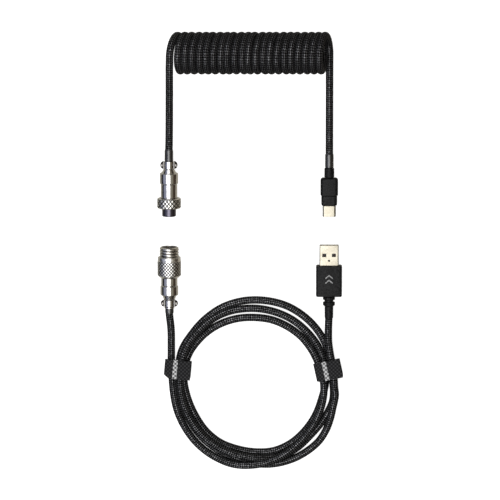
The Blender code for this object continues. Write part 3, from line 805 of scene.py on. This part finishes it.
def aviator_socket():
    turned("socket_thread_look", AVIATOR, [
        (12.3, 4.65), (12.3, 5.2), (11.6, THREAD_RADIUS), (6.3, THREAD_RADIUS), (6.3, 5.4), (-6.8, 5.4),
        (-6.8, 4.65)], "thread", "socket_threaded_shell", 96, 0.08,
        screw_thread(THREAD_RADIUS, *THREAD[1:], 0.55), dense=0.16)
    for i, place in contact_circle():
        pin = [(-7.6, 0), (-7.6, 0.45), (7.2, 0.45), (7.7, 0.15), (7.7, 0)]
        turned(f"socket_pin_{i}_look", place, pin, "gold", f"socket_pin_{i}", 24)
    turned("socket_barrel_look", AVIATOR, [
        (6.0, 5.7), (6.0, 6.9), (5.75, 7.2), (4.1, 7.2), (3.8, 6.85), (3.5, BARREL_RADIUS),
        (-5.6, BARREL_RADIUS), (-6.9, 6.0), (-6.9, 5.7)],
        "barrel", "socket_knurled_barrel", KNURL_SIDES, 0.08, knurl(BARREL_RADIUS, *KNURL_BARREL, 0.22),
        dense=0.2, sharp=50)
    turned("socket_body_look", AVIATOR, [
        (-12.2, 3.6), (-12.2, 4.9), (-11.9, 5.1), (-7.6, 5.1), (-7.2, 4.9), (-7.2, 3.6)],
        "plated", "socket_body_tube", 96, 0.1)
    turned("socket_rear_look", AVIATOR, [
        (-12.5, 4.1), (-12.5, 5.4), (-12.7, 5.6), (-18.0, 5.6), (-18.4, 5.2), (-18.4, 4.5), (-21.3, 3.35),
        (-21.3, 2.55), (-17.4, 2.55), (-17.4, 4.1)], "plated", "socket_rear_shell", 96, 0.12)
    cable_clamp("socket", -25.6, -21.6)
    turned("socket_grommet_look", AVIATOR, [(-26.9, 2.55), (-26.9, 3.1), (-25.9, 3.1), (-25.9, 2.55)],
           "plated", "socket_cable_grommet", 64, 0.25)
    heat_shrink("socket_heat_shrink", AVIATOR, -29.8, -27.2, 3)


def aviator_plug():
    turned("plug_tube_look", AVIATOR, [
        (39.9, 4.55), (39.9, 5.85), (41.0, 5.85), (41.0, 5.0), (43.6, 5.0), (43.7, 5.15), (52.1, 5.15),
        (52.3, 4.95), (52.3, 4.55)], "plated", "plug_front_tube", 96, 0.1)
    turned("plug_rear_look", AVIATOR, [
        (52.6, 4.4), (52.6, 5.55), (52.8, 5.75), (58.9, 5.75), (59.3, 5.35), (59.3, 4.6), (61.7, 3.35),
        (61.7, 2.55), (57.8, 2.55), (57.8, 4.4)], "plated", "plug_rear_shell", 96, 0.12)
    cable_clamp("plug", 62.0, 66.6)
    heat_shrink("plug_heat_shrink", AVIATOR, 66.9, 73.8, 5)
    for i, place in contact_circle():
        tube = [(32.4, 0.7), (32.4, 0.95), (40.1, 0.95), (40.1, 0.7)]
        turned(f"plug_contact_{i}_look", place, tube, "gold", f"plug_contact_{i}", 28, 0.06)
    turned("coupling_nut_look", AVIATOR, [
        (37.0, 6.3), (37.0, 6.9), (37.6, NUT_RADIUS), (42.8, NUT_RADIUS), (43.4, 6.85), (43.4, 5.4),
        (41.3, 5.4), (41.3, 6.3)], "nut", "coupling_nut", KNURL_SIDES, 0.08,
        knurl(NUT_RADIUS, *KNURL_NUT, 0.25), dense=0.2, sharp=50)


# ---------------------------------------------------------------- USB plugs

def usb_a_plug():
    usb_a_shell()
    x, _, z = USB_A
    width, height = 16.3, 8.0
    lofted("usb_a_grip_look", USB_A, block_sections(-0.1, -19.7, width, height, 1.5, 0.5, 0.7),
           "moulding", "usb_a_overmold", sharp=60)
    for i, y in enumerate((-6.3, -9.3)):
        chevron(f"usb_a_mark_{i + 1}", x, y, z + height / 2)
    y = -20.0
    turned("usb_a_relief_look", USB_A, [
        (y, 2.45), (y, 3.5), (y - 0.3, 3.8), (y - 1.8, 3.8), (y - 2.1, 2.8), (y - 3.2, 2.8), (y - 3.5, 3.8),
        (y - 5.4, 3.8), (y - 6.0, 2.75), (y - 13.3, 2.7), (y - 13.6, 2.6), (y - 13.6, 2.45)],
        "moulding", "usb_a_strain_relief", 72, 0.25, dense=0.6)


def usb_a_shell():
    """The bent steel shell: two windows through it, a round dimple hole and a seam underneath."""
    width, height, wall, tip, root = 12.0, 4.5, 0.35, 12.9, 0.2
    lip_back, lip_in = 0.12, 0.16         # how far the rolled mouth reaches back, and narrows
    window_x, window_half, window_y = 3.0, 1.25, (5.6, 7.8)
    seam_half = 0.03
    outer = rounded_rectangle(width, height, 0.6)
    inner = rounded_rectangle(width - 2 * wall, height - 2 * wall, 0.25)
    mouth = rounded_rectangle(width - lip_in, height - lip_in, 0.52)
    throat = rounded_rectangle(width - 2 * wall + lip_in, height - 2 * wall + lip_in, 0.33)
    shell = lofted("usb_a_shell_look", USB_A, [
        (tip, mouth), (tip - lip_back, outer), (root, outer), (root, inner), (tip - lip_back, inner),
        (tip, throat)], "gold_steel", "usb_a_shell", closed=True, sharp=30)
    x, _, z = USB_A
    tools = [tool_box((x + side * window_x - window_half, window_y[0], -1),
                      (x + side * window_x + window_half, window_y[1], 9)) for side in (-1, 1)]
    tools.append(tool_pin((x, 3.2, z + 2.2), 0.7, 2))
    seam_top = z - height / 2 + wall * 0.6
    tools.append(tool_box((x - seam_half, root - 1, -1), (x + seam_half, tip + 1, seam_top)))
    carve(shell, tools)


def chevron(name, x, y, z):
    """A small raised direction mark, pointing to the plug's tip."""
    arm, foot, apex, thick, sunk, raised, taper = 2.4, -1.2, 0.9, 0.75, 0.25, 0.16, 0.96
    outline = [(-arm, foot), (0, apex), (arm, foot), (arm, foot - thick), (0, apex - thick * 1.25),
               (-arm, foot - thick)]
    rings = [[((x + px * share) * MM, (y + py * share) * MM, height * MM) for px, py in outline]
             for share, height in ((1, z - sunk), (taper, z + raised))]
    finish_piece(name, grid_mesh(name, rings, caps=(0, -1)), "mark", body="cable_set")


def usb_c_plug():
    width, height, wall, tip, root = 8.34, 2.56, 0.3, 30.9, 37.6

    def pill(inset):
        """The shell's outline, all but half round at its sides."""
        return rounded_rectangle(width - 2 * inset, height - 2 * inset, height / 2 - inset - 0.01, 10)

    lofted("usb_c_shell_look", USB_C, [
        (tip, pill(0.1)), (tip + 0.1, pill(0.02)), (tip + 0.22, pill(0)), (root, pill(0)), (root, pill(wall)),
        (tip + 0.2, pill(wall)), (tip, pill(wall - 0.06))],
        "gold_steel", "usb_c_shell", closed=True, sharp=30)
    lofted("usb_c_cap_look", USB_C, block_sections(37.9, 44.1, 9.95, 5.2, 1.9, 1.1, 0.35), "moulding",
           "usb_c_front_cap", sharp=60)
    lofted("usb_c_grip_look", USB_C, block_sections(44.4, 55.6, 11.0, 6.0, 2.1, 0.4, 1.5), "moulding",
           "usb_c_overmold", sharp=60)
    turned("usb_c_collar_look", USB_C, [
        (55.9, 2.45), (55.9, 2.9), (56.2, 3.1), (61.3, 3.1), (61.9, 2.8), (61.9, 2.45)], "moulding",
        "usb_c_collar", 72, 0.25)
    heat_shrink("usb_c_heat_shrink", USB_C, 62.2, 70.4, 9)


# ---------------------------------------------------------------- straps

STRAP_WIDTH, STRAP_LENGTH, STRAP_WALL, STRAP_HEIGHT = 17.0, 12.4, 1.0, 11.2
TAB_FREE_X, TAB_HINGE_X = -0.3, 8.2
STRIPE_X = -3.1                           # the strip of hooks starts here and ends at the tab
BAND_CORNER, BAND_TUCK = 2.4, 2.0         # corner radius, and how far the bottom falls short at the +Y end
TRIM_FROM_X, TRIM_RUN = 5.2, 3.3          # where the cut at a corner starts, and how wide it is
WAVE_DEPTH = 0.12


def placed(points, centre, degrees):
    """Turns points given about a strap's own centre into the frame, in metres."""
    turn = math.radians(degrees)
    x = points[:, 0] * math.cos(turn) - points[:, 1] * math.sin(turn) + centre[0]
    y = points[:, 0] * math.sin(turn) + points[:, 1] * math.cos(turn) + centre[1]
    return np.column_stack([x, y, points[:, 2]]) * MM


def fabric_wave(x, y, seed):
    """Low unevenness of used fabric, about 0 to 1."""
    phases = np.random.default_rng(seed).uniform(0, math.tau, 2)
    return 0.5 + 0.25 * (np.sin(0.9 * x + 0.5 * y + phases[0]) + np.sin(0.6 * y - 0.7 * x + phases[1]))


def band_ring(y, inset, trims, seed):
    """One closed outline of the band at station y; `trims` are how far its -Y corners are cut back."""
    outline = rounded_rectangle(STRAP_WIDTH - 2 * inset, STRAP_HEIGHT - 2 * inset,
                                BAND_CORNER - inset * 0.8, 8)
    outline = np.array(refine(list(outline), 0.8))
    x, z = outline[:, 0], outline[:, 1] + STRAP_HEIGHT / 2
    cut_back = np.where(x < 0, trims[0], trims[1]) * np.clip((np.abs(x) - TRIM_FROM_X) / TRIM_RUN, 0, 1)
    end = y / (STRAP_LENGTH / 2)
    tucked = BAND_TUCK * (1 - z / STRAP_HEIGHT)
    station = y + cut_back * max(0.0, -end) ** 2 - tucked * max(0.0, end) ** 2
    z = z - WAVE_DEPTH * fabric_wave(x, y, seed) * (outline[:, 1] > 0)
    return np.column_stack([x, station, z])


def strap(name, x, y, degrees, trims, seed):
    """The band, the pale strip of hooks that shows on it, and the free tab that peels."""
    half = STRAP_LENGTH / 2
    stations = [half, half - 0.15, *np.linspace(half - 0.5, 0.5 - half, 13), 0.15 - half, -half]
    insets = [0.18, 0.03] + [0.0] * 13 + [0.03, 0.18]
    rings = [band_ring(s, inset, trims, seed) for s, inset in zip(stations, insets)]
    rings += [band_ring(s, STRAP_WALL - inset, trims, seed) for s, inset in zip(stations[::-1], insets[::-1])]
    band, tab = f"strap_{name}_band", f"strap_{name}_tab"
    mesh = grid_mesh(f"{band}_look", [placed(ring, (x, y), degrees) for ring in rings], close_rows=True)
    finish_piece(f"{band}_look", mesh, "strap", (band,), BODY_OF[band])

    plate(f"strap_{name}_stripe", (x, y), degrees, (STRIPE_X, TAB_FREE_X - 0.05), half - 0.1,
          STRAP_HEIGHT - WAVE_DEPTH, 0.3, "stripe", band, seed + 1, ragged=0.22)
    flap = plate(f"{tab}_look", (x, y), degrees, (TAB_FREE_X, TAB_HINGE_X), half - 0.1, STRAP_HEIGHT + 0.3,
                 STRAP_WALL, "strap", tab, seed + 2, ragged=0.05)
    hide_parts(tab)


def plate(name, centre, degrees, span, half, low, thick, look, node, seed, ragged):
    """A flat piece of fabric with soft edges, slightly uneven on top and along its rim; rides with a node."""
    columns = np.linspace(span[0], span[1], max(5, round((span[1] - span[0]) / 0.3)))
    rows = np.linspace(-half, half, 42)
    noise = np.random.default_rng(seed)
    rim = noise.uniform(-ragged, ragged, (2, len(rows)))
    middle = (span[0] + span[1]) / 2
    grid = []
    for j, row in enumerate(rows):
        x = middle + (columns - middle) * (1 + rim[0 if j % 2 else 1, j] / (span[1] - span[0]))
        edge = np.minimum(np.minimum(x - span[0], span[1] - x), half - abs(row))
        soft = np.clip(edge / 0.45, 0, 1)
        crown = low + thick * (0.45 + 0.55 * np.sqrt(1 - (1 - soft) ** 2)) - 0.08 * fabric_wave(x, row, seed)
        crown = crown + noise.uniform(-ragged, ragged, len(x)) * 0.25 * (soft > 0.5)
        under = np.full(len(x), float(low))
        top = np.column_stack([x, np.full(len(x), row), crown])
        base = np.column_stack([x, np.full(len(x), row), under])[::-1]
        grid.append(placed(np.vstack([top, base]), centre, degrees))
    mesh = grid_mesh(name, grid, caps=(0, -1))
    return finish_piece(name, mesh, look, body=BODY_OF[node])


def repaint(look, *nodes):
    """Gives a CAD node that keeps its shape its finished material."""
    for node in nodes:
        obj = frame["nodes"][node]
        obj.data.materials.clear()
        obj.data.materials.append(MATS[look])


aviator_socket()
aviator_plug()
usb_a_plug()
usb_c_plug()
for details in STRAPS:
    strap(*details)
repaint("insert", "socket_insert", "plug_insert", "usb_c_contact_carrier")
repaint("tongue", "usb_a_tongue")
# painted shade on the USB-A contacts inside the shell
repaint("shade_darkened_gold", *(f"usb_a_contact_{i}" for i in range(1, 5)))


# ---------------------------------------------------------------- floor and light

SOFTBOX_PLACE, SOFTBOX_SIZE, SOFTBOX_POWER = (-0.18, 0.0, 1.08), (3.6, 0.86), 28.0      # metres and watts
FLOOR_REACH, FLOOR_Z = 6.0, -0.0002                                                     # metres


def softbox():
    """One long soft panel above the object, turned to its middle."""
    data = bpy.data.lights.new("softbox", "AREA")
    data.shape = "RECTANGLE"
    data.size, data.size_y = SOFTBOX_SIZE
    data.energy = SOFTBOX_POWER
    lamp = bpy.data.objects.new("softbox", data)
    lamp.location = SOFTBOX_PLACE
    lamp.rotation_euler = (-Vector(SOFTBOX_PLACE)).to_track_quat("-Z", "Y").to_euler()
    lamp.visible_camera = False
    link(lamp)


# What surrounds the object, by degrees from straight up round the Y axis: negative is towards -X.
SURROUNDINGS = (
    (-180, (0.40, 0.38, 0.33)), (-114, (0.42, 0.41, 0.36)), (-106, (0.01, 0.01, 0.01)),
    (-80, (0.01, 0.01, 0.01)), (-75, (0.25, 0.27, 0.37)), (-40, (0.36, 0.38, 0.48)),
    (-10, (0.30, 0.30, 0.32)), (18, (0.30, 0.28, 0.24)), (52, (0.22, 0.20, 0.15)),
    (62, (0.07, 0.05, 0.035)), (100, (0.04, 0.03, 0.02)), (108, (0.42, 0.38, 0.31)),
    (180, (0.40, 0.38, 0.33)),
)
DIFFUSE_LEVEL, BACKDROP_LEVEL = 0.03, 1.0     # what matt surfaces and the camera see instead


def surroundings():
    """A world of soft coloured panels for the plating to mirror; the camera itself sees plain white."""
    world = bpy.data.worlds.new("studio")
    world.use_nodes = True
    tree = world.node_tree

    def node(kind, *values, operation=None):
        made = tree.nodes.new(kind)
        if operation:
            made.operation = operation
        for socket, value in zip(made.inputs, values):
            if isinstance(value, bpy.types.NodeSocket):
                tree.links.new(value, socket)
            else:
                socket.default_value = value
        return made

    seen_from = tree.nodes.new("ShaderNodeTexCoord").outputs["Generated"]
    direction = node("ShaderNodeSeparateXYZ", seen_from).outputs
    angle = node("ShaderNodeMath", direction[0], direction[2], operation="ARCTAN2").outputs[0]
    share = node("ShaderNodeMath", angle, 1 / math.tau, 0.5, operation="MULTIPLY_ADD").outputs[0]
    bands = node("ShaderNodeValToRGB", share)
    stops = bands.color_ramp.elements
    while len(stops) < len(SURROUNDINGS):
        stops.new(0.5)
    for stop, (degrees, colour) in zip(stops, SURROUNDINGS):
        stop.position = degrees / 360 + 0.5
        stop.color = (*colour, 1.0)
    fade = node("ShaderNodeMapRange", direction[1], -0.95, -0.7, 0.2, 1.0).outputs[0]
    lit = node("ShaderNodeVectorMath", bands.outputs[0], operation="SCALE")
    tree.links.new(fade, lit.inputs["Scale"])
    rays = tree.nodes.new("ShaderNodeLightPath").outputs
    colour = lit.outputs[0]
    for seen, plain in (("Is Diffuse Ray", DIFFUSE_LEVEL), ("Is Camera Ray", BACKDROP_LEVEL)):
        mixer = tree.nodes.new("ShaderNodeMix")
        mixer.data_type = "RGBA"
        tree.links.new(rays[seen], mixer.inputs[0])
        tree.links.new(colour, mixer.inputs[6])
        mixer.inputs[7].default_value = (plain, plain, plain, 1.0)
        colour = mixer.outputs[2]
    tree.links.new(colour, tree.nodes["Background"].inputs[0])
    bpy.context.scene.world = world


def studio():
    softbox()
    surroundings()
    mesh = bpy.data.meshes.new("floor")
    corners = [(x * FLOOR_REACH, y * FLOOR_REACH, FLOOR_Z) for x, y in ((-1, -1), (1, -1), (1, 1), (-1, 1))]
    mesh.from_pydata(corners, [], [(0, 1, 2, 3)])
    floor = bpy.data.objects.new("floor", mesh)
    link(floor)
    pale = Material("pale_floor", Base_Color=(0.55, 0.55, 0.55, 1.0), Roughness=0.9, Emission_Strength=0.85,
                    Emission_Color=(1.0, 1.0, 1.0, 1.0), Specular_IOR_Level=0.0)
    mesh.materials.append(pale.mat)
    floor.visible_glossy = False
    floor.visible_diffuse = False
    bpy.context.scene.view_settings.view_transform = "Standard"


studio()
